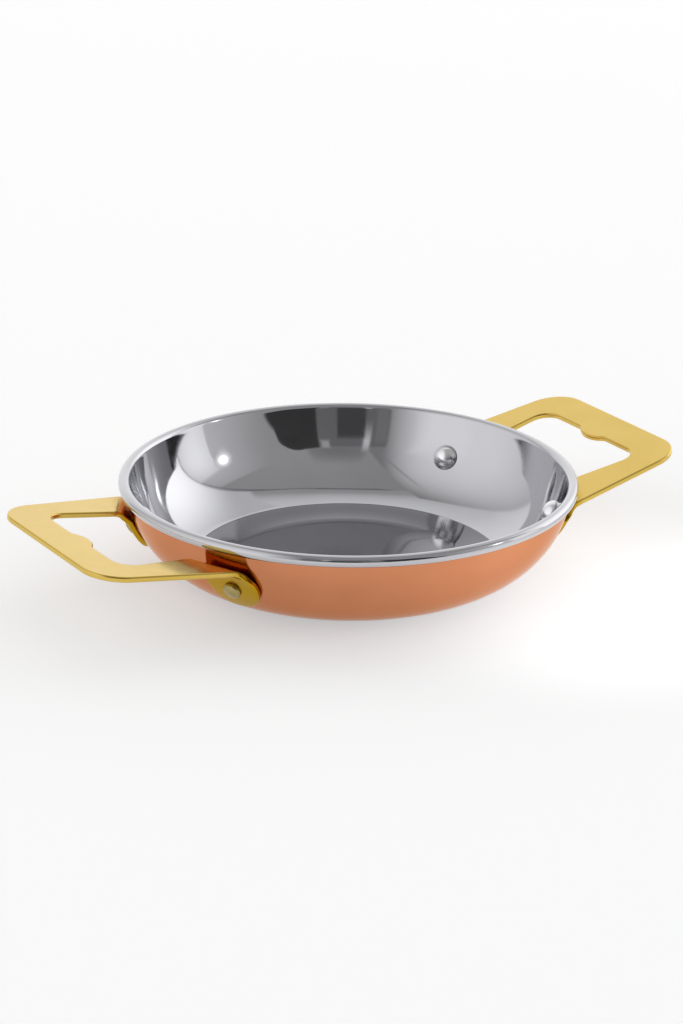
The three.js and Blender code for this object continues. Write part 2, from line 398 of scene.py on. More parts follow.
@dataclass(frozen=True)
class MetalFinish:
    """A bare metal: patches of two tones, uneven polish, slow waves, marks of its making and fine specks."""

    name: str
    tone: Colour
    second_tone: Colour
    mottle: Grain  # patches of the two tones
    gloss: Pair  # roughness where the polish is best and where it is least
    smears: Grain  # patches of better and lesser polish
    sway: float  # depth of the slow waves
    waves: Grain
    mark_depth: float
    marks: Grain
    specks: float  # their depth
    dust: Grain
    slant_tint: Colour = (1.0, 1.0, 1.0)

    def colour(self, sheet: NodeSheet, place: bpy.types.NodeSocket) -> bpy.types.NodeSocket:
        """The metal's colour at a place."""
        return sheet.tones(sheet.noise(place, self.mottle), self.tone, self.second_tone)

    def marking(self, sheet: NodeSheet, place: bpy.types.NodeSocket) -> bpy.types.NodeSocket:
        """Height of the marks at a place: the rings of a turned piece."""
        return sheet.rings(place, self.marks)

    def material(self) -> bpy.types.Material:
        """Makes the metal's material.

        Returns:
            The material.
        """
        sheet = NodeSheet(self.name)
        place = sheet.place()
        roughness = sheet.ranged(sheet.noise(place, self.smears), MOST_NOISE, self.gloss)
        waves = sheet.relief(sheet.noise(place, self.waves), self.sway)
        marks = sheet.relief(self.marking(sheet, place), self.mark_depth, waves)
        grain = sheet.relief(sheet.noise(place, self.dust), self.specks, marks)
        return sheet.metal(self.colour(sheet, place), roughness, grain, self.slant_tint)


@dataclass(frozen=True)
class MirrorSteel(MetalFinish):
    """Stainless steel, mirror polished on a wheel, with the slow waves that pressing leaves."""

    name: str = "mirror_steel"
    tone: Colour = (0.535, 0.535, 0.56)
    second_tone: Colour = (0.565, 0.565, 0.59)
    mottle: Grain = Grain(45.0, 4.0)
    gloss: Pair = (0.035, 0.075)
    smears: Grain = Grain(260.0, 3.0)
    sway: float = 0.00012
    waves: Grain = Grain(24.0, 0.0)
    mark_depth: float = 0.0000006
    marks: Grain = Grain(1900.0, 2.0)
    specks: float = 0.0000012
    dust: Grain = Grain(2300.0, 1.0)


@dataclass(frozen=True)
class SatinCopper(MetalFinish):
    """Copper, spun and polished to a soft shine."""

    name: str = "satin_copper"
    tone: Colour = (0.625, 0.245, 0.115)
    second_tone: Colour = (0.67, 0.27, 0.135)
    mottle: Grain = Grain(38.0, 5.0)
    gloss: Pair = (0.10, 0.18)
    smears: Grain = Grain(140.0, 4.0)
    sway: float = 0.00015
    waves: Grain = Grain(20.0, 1.0)
    mark_depth: float = 0.0000015
    marks: Grain = Grain(1300.0, 3.0)
    specks: float = 0.000001
    dust: Grain = Grain(1700.0, 2.0)
    slant_tint: Colour = (0.95, 0.78, 0.66)


@dataclass(frozen=True)
class RolledBrass(MetalFinish):
    """Brass plate, stamped out of rolled sheet and polished, with painted shade on the bent lugs: a darker
    copy of its colour.
    """

    name: str = "rolled_brass"
    tone: Colour = (0.665, 0.46, 0.10)
    second_tone: Colour = (0.705, 0.495, 0.12)
    mottle: Grain = Grain(55.0, 5.0)
    gloss: Pair = (0.13, 0.22)
    smears: Grain = Grain(300.0, 4.0)
    sway: float = 0.00008
    waves: Grain = Grain(35.0, 1.0)
    mark_depth: float = 0.0000012
    marks: Grain = Grain(1.0, 2.0)
    specks: float = 0.0000012
    dust: Grain = Grain(1900.0, 2.0)
    # painted shade: darker copies of the two tones, used on the bent lugs
    shaded_lug_tone: Colour = (0.49, 0.295, 0.008)
    second_shaded_lug_tone: Colour = (0.54, 0.33, 0.015)
    bend: Pair = (0.0785, 0.0835)  # distance from the pan's axis where the lugs' painted shade gives way to the plate's colour
    rolling: tuple[float, float, float] = (2200.0, 90.0, 90.0)  # marks in a metre along each axis

    def colour(self, sheet: NodeSheet, place: bpy.types.NodeSocket) -> bpy.types.NodeSocket:
        """The brass's colour at a place, with painted shade on the lugs.

        Args:
            sheet: The material's nodes.
            place: The place.

        Returns:
            The colour.
        """
        mottle = sheet.noise(place, self.mottle)
        # painted shade: the lugs take a darker copy of the brass
        lug = sheet.tones(mottle, self.shaded_lug_tone, self.second_shaded_lug_tone)
        plate = sheet.tones(mottle, self.tone, self.second_tone)
        return sheet.mixed(sheet.eased(sheet.radius(place), self.bend, (0.0, 1.0)), lug, plate)

    def marking(self, sheet: NodeSheet, place: bpy.types.NodeSocket) -> bpy.types.NodeSocket:
        """Height of the marks at a place: the lines that the rollers leave."""
        return sheet.noise(sheet.stretched(place, self.rolling), self.marks)


@dataclass(frozen=True)
class PeenedSteel(MetalFinish):
    """Rivet steel, headed in a die and peened over, with darker, gold-tinted tails."""

    name: str = "peened_steel"
    tone: Colour = (0.87, 0.87, 0.895)
    second_tone: Colour = (0.92, 0.92, 0.94)
    mottle: Grain = Grain(320.0, 4.0)
    gloss: Pair = (0.17, 0.30)
    smears: Grain = Grain(600.0, 3.0)
    sway: float = 0.00009
    waves: Grain = Grain(260.0, 1.0)
    mark_depth: float = 0.0  # a rivet is headed, not turned
    marks: Grain = Grain(260.0, 1.0)
    specks: float = 0.0000015
    dust: Grain = Grain(3200.0, 2.0)
    tail_tone: Colour = (0.38, 0.305, 0.12)
    second_tail_tone: Colour = (0.46, 0.385, 0.17)
    wall: Pair = (0.0737, 0.0741)  # distance from the pan's axis where head gives way to tail

    def colour(self, sheet: NodeSheet, place: bpy.types.NodeSocket) -> bpy.types.NodeSocket:
        """The rivets' colour at a place.

        Args:
            sheet: The material's nodes.
            place: The place.

        Returns:
            The colour.
        """
        mottle = sheet.noise(place, self.mottle)
        head = sheet.tones(mottle, self.tone, self.second_tone)
        tail = sheet.tones(mottle, self.tail_tone, self.second_tail_tone)
        return sheet.mixed(sheet.ranged(sheet.radius(place), self.wall, (0.0, 1.0)), head, tail)


@dataclass(frozen=True)
class RivetSeat:
    """Where a rivet goes through the wall."""

    point: Vector  # on the shell's outer face
    outward: Vector


@dataclass(frozen=True)
class PanSection:
    """Half section of the pan's hollow side, and the sheets that follow it."""

    floor_radius: float = 0.0535
    floor_height: float = 0.002
    toe: float = math.radians(18)  # slope of the wall where it leaves the floor
    ease: float = math.radians(78)  # slope where its curve eases
    lean: float = math.radians(80)  # slope of the wall under the bead
    rim_radius: float = 0.080
    bead_radius: float = 0.002
    bead_height: float = 0.0307
    lining: float = 0.0008
    shell: float = 0.0009
    seat_gap: float = 0.0003  # between two pieces that lie against each other
    wall_steps: int = 36
    eased_steps: int = 14
    turn_steps: int = 256

    @property
    def bead(self) -> Vector:
        """Middle of the rolled bead."""
        return Vector((self.rim_radius - self.bead_radius, self.bead_height))

    @property
    def floor_edge(self) -> Vector:
        """Where the floor turns into the wall."""
        return Vector((self.floor_radius, self.floor_height))

    @property
    def across(self) -> Vector:
        """Direction out through the top of the wall."""
        return Vector((math.sin(self.lean), -math.cos(self.lean)))

    @property
    def top(self) -> Vector:
        """Where the wall runs into the bead."""
        return self.bead - self.across * self.bead_radius

    @property
    def curves(self) -> Pair:
        """Radii of the wall's lower and upper curve, which run smoothly into each other and into the bead.

        Returns:
            Both radii.
        """
        slopes = ((self.toe, self.ease), (self.ease, self.lean))
        runs = [math.sin(end) - math.sin(start) for start, end in slopes]
        climbs = [math.cos(start) - math.cos(end) for start, end in slopes]
        rise = self.top - self.floor_edge
        scale = runs[0] * climbs[1] - runs[1] * climbs[0]
        lower = (rise.x * climbs[1] - rise.y * runs[1]) / scale
        upper = (rise.y * runs[0] - rise.x * climbs[0]) / scale
        return lower, upper

    @property
    def lower_centre(self) -> Vector:
        """Middle of the wall's lower curve."""
        return self.floor_edge + self.curves[0] * Vector((-math.sin(self.toe), math.cos(self.toe)))

    @property
    def upper_centre(self) -> Vector:
        """Middle of the wall's upper curve."""
        lower, upper = self.curves
        return self.lower_centre + (lower - upper) * Vector((math.sin(self.ease), -math.cos(self.ease)))

    @property
    def shell_face(self) -> float:
        """Distance from the hollow side out to the shell's outer face."""
        return self.lining + self.seat_gap + self.shell

    def wall(self, distance: float, foot: float) -> list[Vector]:
        """The wall's line at a distance outside its hollow side.

        Args:
            distance: How far outside the line lies.
            foot: Height that it starts from.

        Returns:
            The points from the foot to the top.
        """
        quarter = math.pi / 2
        lower, upper = [radius + distance for radius in self.curves]
        start = math.acos((self.lower_centre.y - foot) / lower) - quarter
        curve = arc(self.lower_centre, lower, start, self.ease - quarter, self.wall_steps)
        eased = arc(self.upper_centre, upper, self.ease - quarter, self.lean - quarter, self.eased_steps)
        return curve + eased[1:]

    def seat(self, drop: float, aside: float, side: int) -> RivetSeat:
        """Where a rivet of the handle on +X sits.

        Args:
            drop: From the middle of the bead down to the rivet.
            aside: From the handle's middle line to the rivet.
            side: 1 for the rivet at +Y, -1 for the one at -Y.

        Returns:
            The rivet's place.
        """
        radius = self.curves[0] + self.shell_face
        height = self.bead_height - drop
        dip = math.asin((self.lower_centre.y - height) / radius)
        distance = self.lower_centre.x + radius * math.cos(dip)
        bearing = side * math.asin(aside / distance)
        level = Vector((math.cos(bearing), math.sin(bearing), 0.0))
        point = level * distance + Vector((0.0, 0.0, height))
        return RivetSeat(point, level * math.cos(dip) - Vector((0.0, 0.0, math.sin(dip))))

    def depth(self, seat: RivetSeat) -> float:
        """How far in from a rivet's seat this section's hollow side lies, along the rivet.

        Args:
            seat: The rivet's place.

        Returns:
            The distance.
        """
        offset = Vector((seat.point.xy.length, seat.point.z)) - self.lower_centre
        across = offset.dot(Vector((seat.outward.xy.length, seat.outward.z)))
        return across - math.sqrt(across ** 2 - offset.length_squared + self.curves[0] ** 2)


@dataclass(frozen=True)
class LiningSection(PanSection):
    """The lining's own section, whose wall leaves the shell's a little on its way up."""

    toe: float = math.radians(20)
    ease: float = math.radians(68)
    lean: float = math.radians(76)


@dataclass
class SteelLining:
    """The steel lining: floor, wall and the rim rolled out into a bead."""

    section: LiningSection
    finish: MirrorSteel = MirrorSteel()
    curl_end: float = math.radians(-90)  # where the rolled edge ends, seen from the bead's middle
    underside: float = 0.0006  # height of the floor's underside
    dish_depth: float = 0.001  # how far the middle of the floor lies under its edge
    dish_width: float = 0.012  # of the ring along its edge that rises to the wall
    dish_steps: int = 14
    bead_steps: int = 40
    floor_crease: float = 0.00025  # rounding where the floor meets the wall
    edge_rounding: float = 0.0002
    rounding_steps: int = 3

    def profile(self) -> list[Vector]:
        """The lining's line from the axis along its underside and back over its hollow side.

        Returns:
            The points, as radius and height.
        """
        section = self.section
        hollow = section.bead_radius - section.lining
        start = section.lean + math.pi / 2
        outside = section.wall(section.lining, self.underside)
        curl = arc(section.bead, hollow, start, self.curl_end, self.bead_steps)
        bead = arc(section.bead, section.bead_radius, self.curl_end, start, self.bead_steps)
        inside = section.wall(0.0, section.floor_height)
        return [
            Vector((0.0, self.underside)), *outside[:-1], *curl, *bead, *reversed(inside[1:-1]),
            *self.floor_line(), Vector((0.0, section.floor_height - self.dish_depth)),
        ]

    def floor_line(self) -> list[Vector]:
        """The floor's line from its edge down its dished ring to its flat middle.

        Returns:
            The points, as radius and height.
        """
        curve = (self.dish_width ** 2 + self.dish_depth ** 2) / (2 * self.dish_depth)
        centre = self.section.floor_edge + Vector((-self.dish_width, curve - self.dish_depth))
        slope = math.asin(self.dish_width / curve)
        return arc(centre, curve, slope - math.pi / 2, -math.pi / 2, self.dish_steps)

    def build(self) -> bpy.types.Object:
        """Makes the lining and puts it in its node's place.

        Returns:
            The finished piece.
        """
        shape = spun(self.profile(), self.section.turn_steps)
        soften_ring(shape, self.section.floor_edge, self.floor_crease, self.rounding_steps)
        tip = Vector((math.cos(self.curl_end), math.sin(self.curl_end)))
        for radius in (self.section.bead_radius, self.section.bead_radius - self.section.lining):
            edge = self.section.bead + radius * tip
            soften_ring(shape, edge, self.edge_rounding, self.rounding_steps)
        piece = finished("steel_lining", shape, self.finish.material())
        settle(piece, "inner_pan", "steel")
        return piece


@dataclass
class CopperShell:
    """The copper shell, whose upper edge stands inside the rolled bead."""

    section: PanSection
    finish: SatinCopper = SatinCopper()
    floor: float = 0.0005  # thickness of its floor
    foot_rounding: float = 0.0012
    foot_steps: int = 5
    edge_rounding: float = 0.0002
    edge_steps: int = 2

    def build(self) -> bpy.types.Object:
        """Makes the shell and puts it in its node's place.

        Returns:
            The finished piece.
        """
        section = self.section
        outside = section.wall(section.shell_face, 0.0)
        inside = section.wall(section.lining + section.seat_gap, self.floor)
        middle = [Vector((0.0, 0.0)), Vector((0.0, self.floor))]
        shape = spun([middle[0], *outside, *reversed(inside), middle[1]], section.turn_steps)
        soften_ring(shape, outside[0], self.foot_rounding, self.foot_steps)
        for edge in (outside[-1], inside[-1]):
            soften_ring(shape, edge, self.edge_rounding, self.edge_steps)
        piece = finished("copper_outer", shape, self.finish.material())
        settle(piece, "copper_shell", "copper")
        return piece


@dataclass
class Rivet:
    """A solid rivet: domed head inside the pan, low peened tail outside."""

    lining: LiningSection
    plate: float  # thickness of the plate under its tail
    shank_radius: float = 0.0024
    head_radius: float = 0.0046
    head_height: float = 0.0026
    tail_radius: float = 0.0032
    tail_height: float = 0.0015
    tail_edge: float = 0.0005  # how high the tail's straight side stands
    seating: float = 0.0004  # how far head and tail reach into the gap under them
    edge_rounding: float = 0.0003
    rounding_steps: int = 3
    dome_steps: int = 12
    turn_steps: int = 64

    def dome(self, radius: float, height: float, level: float, side: int) -> list[Vector]:
        """A dome's line from its edge to its top.

        Args:
            radius: Radius of the dome's edge.
            height: From the edge to the top.
            level: Where the edge is on the rivet's axis.
            side: 1 for a dome towards the tail, -1 towards the head.

        Returns:
            The points.
        """
        curve = (radius ** 2 + height ** 2) / (2 * height)
        centre = Vector((0.0, level + side * (height - curve)))
        start = side * math.asin((curve - height) / curve)
        return arc(centre, curve, start, side * math.pi / 2, self.dome_steps)

    def profile(self, depth: float) -> list[Vector]:
        """The rivet's line from the head's top to the tail's top, outwards from the shell's face.

        Args:
            depth: From the shell's face in to the lining's hollow side.

        Returns:
            The points, as distance from the rivet's axis and place along it.
        """
        gap = self.lining.seat_gap
        sag = self.head_radius ** 2 / (2 * self.lining.curves[0])
        head = self.dome(self.head_radius, self.head_height, -depth - gap - sag, -1)
        foot = gap + self.plate
        tail = self.dome(self.tail_radius, self.tail_height - self.tail_edge, foot + gap + self.tail_edge, 1)
        skirt = [
            Vector((self.head_radius, head[0].y + self.seating)),
            Vector((self.shank_radius, head[0].y + self.seating)),
            Vector((self.shank_radius, foot + gap - self.seating)),
            Vector((self.tail_radius, foot + gap - self.seating)),
        ]
        return [*reversed(head), *skirt, *tail]

    def build(
        self, node: str, seat: RivetSeat, turn: Matrix, material: bpy.types.Material
    ) -> bpy.types.Object:
        """Makes one rivet and puts it in its node's place.

        Args:
            node: CAD node that it stands for.
            seat: Its place on the side of +X.
            turn: Turn that takes it to its own side.
            material: The rivets' material.

        Returns:
            The finished piece.
        """
        profile = self.profile(self.lining.depth(seat))
        profile[0].x = profile[-1].x = 0.0
        shape = spun(profile, self.turn_steps)
        soften_ring(shape, profile[-1 - self.dome_steps], self.edge_rounding, self.rounding_steps)
        aim = Vector((0.0, 0.0, 1.0)).rotation_difference(seat.outward).to_matrix().to_4x4()
        bmesh.ops.transform(shape, matrix=turn @ Matrix.Translation(seat.point) @ aim, verts=shape.verts)
        piece = finished(f"{node}_solid", shape, material)
        settle(piece, node, "rivet_steel")
        return piece


@dataclass(frozen=True)
class ArmBend:
    """How a handle's arm turns down about an oblique line and settles against the curved wall."""

    origin: Vector  # point of the plate's upper face that its outline is measured from
    along: Vector  # out along the plate
    across: Vector  # across the plate, towards +Y
    up: Vector  # out of the plate's upper face
    inward: Vector  # on the plate and square to the bend, towards the lug
    down: Vector  # the same way past the bend
    radius: float  # of the upper face in the bend
    length: float  # of the upper face along the bend
    start: Vector  # point on the line where the bend starts
    lug: Vector  # middle of the lug on the flat plate
    wall: Vector  # middle of the curve that the lug's face lies along, as radius and height
    wall_radius: float
    settling: float = 0.004  # way past the bend over which the lug settles against that curve
    passes: int = 6  # how often the way to that curve is measured again

    @classmethod
    def fitted(
        cls, section: PanSection, origin: Vector, tilt: float, seat: RivetSeat, radius: float
    ) -> "ArmBend":
        """The bend that takes a plate's upper face to a rivet's seat on the wall.

        Args:
            section: The pan's section.
            origin: Point of the upper face on the handle's middle line.
            tilt: How far the plate rises away from the pan.
            seat: The rivet's place.
            radius: Radius of the upper face in the bend.

        Returns:
            The bend of the arm at +Y.
        """
        along = Vector((math.cos(tilt), 0.0, math.sin(tilt)))
        across = Vector((0.0, 1.0, 0.0))
        up = along.cross(across)
        face = seat.point + seat.outward * section.seat_gap
        facing = -seat.outward
        inward = (facing - up * facing.dot(up)).normalized()
        angle = up.angle(facing)
        down = inward * math.cos(angle) - up * math.sin(angle)
        climb = (face - origin).dot(up) / down.dot(up)
        fold = face - down * climb
        setback = radius * math.tan(angle / 2)
        flat = fold + inward * (radius * angle - 2 * setback + climb) - origin
        return cls(
            origin, along, across, up, inward, down, radius, radius * angle,
            fold - inward * setback, Vector((flat.dot(along), flat.dot(across))),
            section.lower_centre, section.curves[0] + section.shell_face + section.seat_gap,
        )

    def cut(self, level: float) -> tuple[Vector, Vector]:
        """The plane across the flat plate at a distance past the bend's start.

        Args:
            level: Distance past the start.

        Returns:
            A point on the plane and the plane's direction, on the flat plate.
        """
        offset = self.start - self.origin
        start = Vector((offset.dot(self.along), offset.dot(self.across), 0.0))
        direction = Vector((self.inward.dot(self.along), self.inward.dot(self.across), 0.0))
        return start + direction * level, direction

    def bent(self, flat: Vector) -> Vector:
        """The place of a point of the flat plate once the arm is bent.

        Args:
            flat: The point along and across the plate, and its height over the upper face.

        Returns:
            Its place in the pan's frame.
        """
        place = self.origin + self.along * flat.x + self.across * flat.y
        wrapped = max(0.0, (place - self.start).dot(self.inward))
        turn = min(wrapped, self.length) / self.radius
        facing = self.up * math.cos(turn) + self.inward * math.sin(turn)
        place += self.inward * (self.radius * math.sin(turn) - wrapped)
        place += self.up * (self.radius * (math.cos(turn) - 1))
        place += self.down * max(0.0, wrapped - self.length)
        return place + facing * (flat.z + self.settled(place, facing, wrapped - self.length))

    def settled(self, place: Vector, facing: Vector, past: float) -> float:
        """How far a point of the lug's face moves in to lie against the curved wall.

        Args:
            place: The point on the face of a flat lug.
            facing: The way that this face looks.
            past: How far past the bend the point lies.

        Returns:
            The distance, which is 0 up to the bend's end.
        """
        share = min(1.0, max(0.0, past / self.settling))
        gap = 0.0
        for _ in range(self.passes):
            probe = place + facing * gap
            gap += (Vector((probe.xy.length, probe.z)) - self.wall).length - self.wall_radius
        return gap * share * share * (3 - 2 * share)


@dataclass
class PlateHandle:
    """A brass plate handle: a rounded U with a thumb bump, and two arms bent down to riveted lugs."""

    section: PanSection
    tilt: float  # how far the plate rises away from the pan
    reach: float  # from the rim along the plate to the grip's outer edge
    sheet: float = 0.002
    width: float = 0.0774
    arm_width: float = 0.0113  # beside the grip's corners, from where the arm widens to its lug
    grip_width: float = 0.0135
    outer_corner: float = 0.013
    inner_corner: float = 0.0064
    bump_width: float = 0.0144
    bump_height: float = 0.0028
    bump_fillet: float = 0.0009
    fillet_steps: int = 4
    arm_drop: float = 0.0052  # from the bead's middle down to the plate's upper face at the rim
    bend_radius: float = 0.003  # inside the bend
    lug_radius: float = 0.0094
    rivet_drop: float = 0.0145  # from the bead's middle down to the rivet
    rivet_spread: float = 0.0012  # how far the rivet stands outside the arm's middle
    edge_rounding: float = 0.00062
    rounding_steps: int = 5
    corner_steps: int = 18
    lug_steps: int = 40
    lug_cuts: int = 12
    bend_steps: int = 18

    def seat(self, side: int) -> RivetSeat:
        """Where the rivet through one lug sits."""
        aside = (self.width - self.arm_width) / 2 + self.rivet_spread
        return self.section.seat(self.rivet_drop, aside, side)

    def bend(self) -> ArmBend:
        """The bend of the arm at +Y.

        Returns:
            The bend.
        """
        origin = Vector((self.section.rim_radius, 0.0, self.section.bead_height - self.arm_drop))
        radius = self.bend_radius + self.sheet
        return ArmBend.fitted(self.section, origin, self.tilt, self.seat(1), radius)

    def half_outline(self, lug: Vector) -> list[Vector]:
        """Half of the flat plate's outline, from the middle of the grip round the lug to the bump.

        Args:
            lug: Middle of the lug.

        Returns:
            The outline's points at +Y, with the two on the middle line.
        """
        half = self.width / 2
        inner = half - self.arm_width
        grip = self.reach - self.grip_width
        outer_corner = Vector((self.reach - self.outer_corner, half - self.outer_corner))
        inner_corner = Vector((grip - self.inner_corner, inner - self.inner_corner))
        outer_meet = touching(outer_corner, self.outer_corner, lug, self.lug_radius)
        inner_meet = touching(inner_corner, self.inner_corner, lug, -self.lug_radius)
        bump = ((self.bump_width / 2) ** 2 + self.bump_height ** 2) / (2 * self.bump_height)
        bump_centre = Vector((grip - self.bump_height + bump, 0.0))
        bump_half = math.asin(self.bump_width / 2 / bump)
        steps = self.corner_steps
        return [
            Vector((self.reach, 0.0)),
            *arc(outer_corner, self.outer_corner, 0.0, outer_meet, steps),
            *arc(lug, self.lug_radius, outer_meet, inner_meet + math.pi, self.lug_steps),
            *arc(inner_corner, self.inner_corner, inner_meet, 0.0, steps),
            *arc(bump_centre, bump, math.pi - bump_half, math.pi, steps),
        ]

    def flat_half(self, lug: Vector) -> bmesh.types.BMesh:
        """Half of the flat plate with rounded edges, open along its middle line.

        Args:
            lug: Middle of the lug.

        Returns:
            The half plate, with its upper face at height 0.
        """
        shape = bmesh.new()
        rim = [shape.verts.new(point.to_3d()) for point in self.half_outline(lug)]
        shape.faces.new(rim)
        shoulder = rim[-1 - self.corner_steps]
        rounded(shape, Rounds.CORNERS, [shoulder], self.bump_fillet, self.fillet_steps)
        bmesh.ops.recalc_face_normals(shape, faces=shape.faces)
        bmesh.ops.solidify(shape, geom=shape.faces[:], thickness=self.sheet)
        rise = max(vert.co.z for vert in shape.verts)
        bmesh.ops.translate(shape, verts=shape.verts, vec=(0.0, 0.0, -rise))
        seam = [face for face in shape.faces if all(abs(vert.co.y) < TOUCH for vert in face.verts)]
        bmesh.ops.delete(shape, geom=seam, context="FACES")
        cut = [edge for edge in shape.edges if edge.is_manifold and edge.calc_face_angle() > SHARP]
        rounded(shape, Rounds.EDGES, cut, self.edge_rounding, self.rounding_steps)
        return shape

    def divide(self, shape: bmesh.types.BMesh, bend: ArmBend) -> None:
        """Cuts the flat half plate along its bend and its lug into a grid, so that both can curve.

        Args:
            shape: The half plate.
            bend: Its bend.
        """
        levels = [bend.length * step / self.bend_steps for step in range(self.bend_steps + 1)]
        spacing = 2 * self.lug_radius / self.lug_cuts
        levels += [bend.length + spacing * step for step in range(1, self.lug_cuts)]
        for level in levels:
            point, direction = bend.cut(level)
            everything = shape.verts[:] + shape.edges[:] + shape.faces[:]
            bmesh.ops.bisect_plane(shape, geom=everything, dist=TOUCH, plane_co=point, plane_no=direction)
        end, direction = bend.cut(bend.length - TOUCH)
        sideways = Vector((-direction.y, direction.x, 0.0))
        for step in range(1 - self.lug_cuts // 2, self.lug_cuts // 2):
            lug = [face for face in shape.faces if all((v.co - end).dot(direction) > 0.0 for v in face.verts)]
            parts = {part for face in lug for part in (face, *face.edges, *face.verts)}
            point = bend.lug.to_3d() + sideways * spacing * step
            bmesh.ops.bisect_plane(shape, geom=list(parts), dist=TOUCH, plane_co=point, plane_no=sideways)

    def build(self, node: str, turn: Matrix, material: bpy.types.Material) -> bpy.types.Object:
        """Makes the handle and puts it in its node's place.

        Args:
            node: CAD node that it stands for.
            turn: Turn that takes it from +X to its own side.
            material: The brass.

        Returns:
            The finished piece.
        """
        bend = self.bend()
        shape = self.flat_half(bend.lug)
        self.divide(shape, bend)
        for vert in shape.verts:
            vert.co = bend.bent(vert.co)
        everything = shape.verts[:] + shape.edges[:] + shape.faces[:]
        bmesh.ops.mirror(shape, geom=everything, matrix=Matrix.Identity(4), merge_dist=TOUCH, axis="Y")
        bmesh.ops.remove_doubles(shape, verts=shape.verts, dist=TOUCH)
        bmesh.ops.recalc_face_normals(shape, faces=shape.faces)
        bmesh.ops.transform(shape, matrix=turn, verts=shape.verts)
        piece = finished(f"{node}_plate", shape, material)
        settle(piece, node, "brass")
        return piece


class CardOutline(Enum):
    """Outline of a studio card."""

    SQUARE = "square"
    ROUND = "round"


@dataclass(frozen=True)
class StudioCard:
    """A lit or dark card round the pan; its sizes are in parts of its distance."""

    name: str
    bearing: float  # degrees round from the camera's side, to the right in the picture
    span: Pair  # from its left edge to its right edge
    rise: Pair  # from its lower edge to its upper edge
    bright: float
    dim: float
    pool: Pair = (0.0, 0.0)  # middle of its bright part
    reach: Pair = (1.0, 1.0)  # how far the bright part fades out
    outline: CardOutline = CardOutline.SQUARE
    soft: float = 0.02  # part of its half width and half height over which its edge fades
    tip: float = 0.0  # degrees that its top leans to the right
    round_steps: int = 64

    @property
    def middle(self) -> Pair:
        """The card's middle."""
        return sum(self.span) / 2, sum(self.rise) / 2

    @property
    def half(self) -> Pair:
        """Half its width and half its height."""
        return (self.span[1] - self.span[0]) / 2, (self.rise[1] - self.rise[0]) / 2

    def outer(self, sheet: NodeSheet) -> bpy.types.NodeSocket:
        """How far out a point lies on the card.

        Args:
            sheet: The card's nodes.

        Returns:
            A value of 0 in the middle and 1 at the edge.
        """
        place = sheet.scaled(self.middle, self.half)
        if self.outline is CardOutline.ROUND:
            return sheet.length(place)
        sides = sheet.add("VectorMath", {0: place}, operation="ABSOLUTE").outputs[0]
        axes = sheet.add("SeparateXYZ", {0: sides}).outputs
        return sheet.maths("MAXIMUM", axes["X"], axes["Y"])

    def material(self) -> bpy.types.Material:
        """The card's glow, brightest in its pool and soft along its edge.

        Returns:
            The material.
        """
        sheet = NodeSheet(f"{self.name}_glow")
        away = sheet.length(sheet.scaled(self.pool, self.reach))
        glow = sheet.add("Emission", {"Strength": sheet.eased(away, (0.0, 1.0), (self.bright, self.dim))})
        share = sheet.eased(self.outer(sheet), (1.0 - self.soft, 1.0), (1.0, 0.0))
        bare = sheet.add("BsdfTransparent", {})
        sockets = {0: share, 1: bare.outputs[0], 2: glow.outputs[0]}
        sheet.add("OutputMaterial", {"Surface": sheet.add("MixShader", sockets).outputs[0]})
        return sheet.material

    def build(self, front: float, distance: float) -> bpy.types.Object:
        """Puts the card up.

        Args:
            front: Bearing of the camera, in radians.
            distance: How far the card stands from the pan.

        Returns:
            The card, which the camera doesn't see.
        """
        shape = bmesh.new()
        if self.outline is CardOutline.ROUND:
            bmesh.ops.create_circle(shape, cap_ends=True, segments=self.round_steps, radius=1.0)
        else:
            bmesh.ops.create_grid(shape, x_segments=1, y_segments=1, size=1.0)
        bmesh.ops.scale(shape, vec=(*self.half, 1.0), verts=shape.verts)
        bmesh.ops.translate(shape, vec=(*self.middle, 0.0), verts=shape.verts)
        card = placed(self.name, shape, self.material())
        facing = Matrix.Rotation(front + math.radians(self.bearing), 4, "Z")
        upright = Matrix.Rotation(math.pi / 2, 4, "X")
        away = Matrix.Translation((0.0, -distance, 0.0)) @ upright @ Matrix.Scale(distance, 4)
        hub = Matrix.Translation((*self.middle, 0.0))
        lean = hub @ Matrix.Rotation(math.radians(-self.tip), 4, "Z") @ hub.inverted()
        card.matrix_world = facing @ away @ lean
        card.visible_camera = False
        return card


